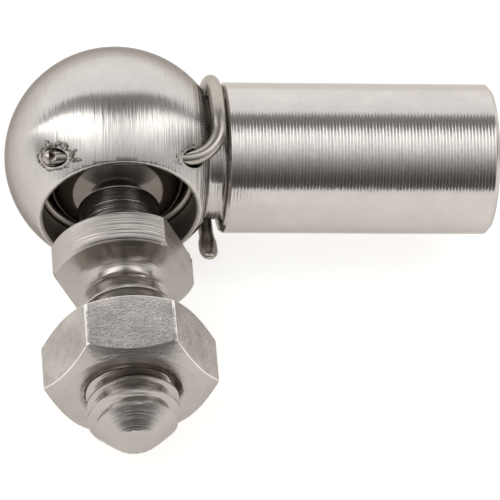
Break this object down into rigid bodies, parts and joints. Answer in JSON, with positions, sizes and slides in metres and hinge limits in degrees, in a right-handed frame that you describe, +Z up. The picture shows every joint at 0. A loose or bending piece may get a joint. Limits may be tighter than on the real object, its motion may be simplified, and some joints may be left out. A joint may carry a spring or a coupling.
{
  "type": "angle ball joint",
  "caption": "Angle ball joint in turned stainless steel: ball socket with threaded shank, ball stud with hexagon nut, spring ring and wire safety clip.",
  "frame": {"origin": "centre of the ball", "axes": "+X along the shank to its threaded mouth, -Y out of the socket's mouth, +Z up as the joint lies on a bench with its stud level"},
  "size_m": [0.0323, 0.0298, 0.0146],
  "materials": {
    "turned_stainless": "turned, with visible feed marks",
    "ground_stainless": "ball polished, rest turned",
    "spring_wire": "drawn spring wire",
    "cold_formed_stainless": "cold-formed, edges worn bright"
  },
  "bodies": {
    "housing": {"socket_housing": "turned_stainless"},
    "ring": {"spring_ring": "spring_wire"},
    "stud": {"ball_stud": "ground_stainless"},
    "nut": {"hex_nut": "cold_formed_stainless"},
    "clip": {"safety_clip": "spring_wire"}
  },
  "joints": [
    {"name": "ball_swivel", "type": "hinge", "parent": "housing", "child": "ring", "pos_m": [0, 0, 0], "axis": [0, -1, 0], "continuous": true},
    {"name": "ball_tilt", "type": "hinge", "parent": "ring", "child": "stud", "pos_m": [0, 0, 0], "axis": [1, 0, 0], "range_deg": [-17.3, 8.7]},
    {"name": "nut_travel", "type": "slide", "parent": "stud", "child": "nut", "axis": [0, 0.9972, 0.075], "range_m": [-0.003, 0.004]},
    {"name": "clip_swing", "type": "hinge", "parent": "housing", "child": "clip", "pos_m": [0, -0.00371, 0.0042], "axis": [1, 0, 0], "range_deg": [0, 90], "deforming": ["safety_clip"]}
  ]
}
